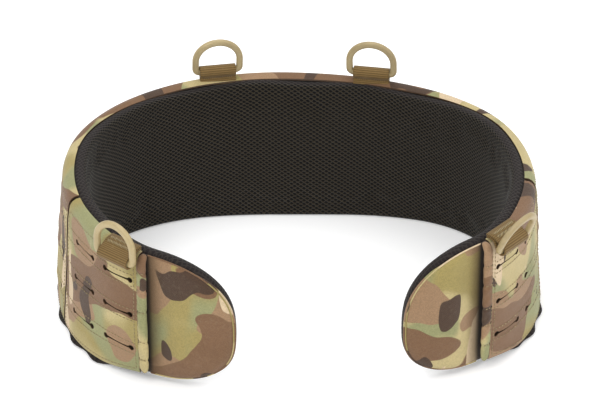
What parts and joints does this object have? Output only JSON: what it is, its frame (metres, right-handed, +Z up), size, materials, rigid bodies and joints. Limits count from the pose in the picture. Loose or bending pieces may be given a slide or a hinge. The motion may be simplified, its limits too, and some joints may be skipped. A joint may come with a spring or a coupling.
{
  "type": "padded belt sleeve",
  "caption": "Padded waist belt sleeve, open at the front, with a mesh lining, rounded flaps, a slotted load panel and D-rings on webbing tabs.",
  "frame": {"origin": "middle of the belt's bounding box on the surface that it stands on", "axes": "+Z up, +Y to the wearer's back, +X to the right in the picture's view; the open front is at -Y"},
  "size_m": [0.3248, 0.2492, 0.1316],
  "materials": {
    "spacer_mesh": "black polyester spacer mesh over closed-cell foam",
    "shell_cloth": null,
    "laminate": null,
    "webbing": "coyote nylon webbing, bar tacked",
    "coated_ring": "tan coated steel wire, satin"
  },
  "bodies": {
    "belt": {"mesh_lining": "spacer_mesh", "pad_shell": "shell_cloth", "molle_panel_back": "laminate", "molle_panel_left": "laminate", "molle_panel_right": "laminate", "sleeve_hem_left": "laminate", "sleeve_hem_right": "laminate", "tab_front_left": "webbing", "tab_front_right": "webbing", "tab_back_left": "webbing", "tab_back_right": "webbing"},
    "ring_front_left": {"ring_front_left": "coated_ring"},
    "ring_front_right": {"ring_front_right": "coated_ring"},
    "ring_back_left": {"ring_back_left": "coated_ring"},
    "ring_back_right": {"ring_back_right": "coated_ring"}
  },
  "joints": [
    {"name": "ring_front_left_hinge", "type": "hinge", "parent": "belt", "child": "ring_front_left", "pos_m": [-0.11615, -0.10572, 0.092], "axis": [0.7628, -0.6466, 0], "range_deg": [0, 150]},
    {"name": "ring_front_right_hinge", "type": "hinge", "parent": "belt", "child": "ring_front_right", "pos_m": [0.13558, -0.08781, 0.092], "axis": [0.6312, 0.7756, 0], "range_deg": [-24, 126]},
    {"name": "ring_back_left_hinge", "type": "hinge", "parent": "belt", "child": "ring_back_left", "pos_m": [-0.05539, 0.1124, 0.1064], "axis": [0.9839, 0.1785, 0], "range_deg": [-113, 97]},
    {"name": "ring_back_right_hinge", "type": "hinge", "parent": "belt", "child": "ring_back_right", "pos_m": [0.04932, 0.10924, 0.1064], "axis": [0.984, -0.1784, 0], "range_deg": [-113, 97]}
  ]
}
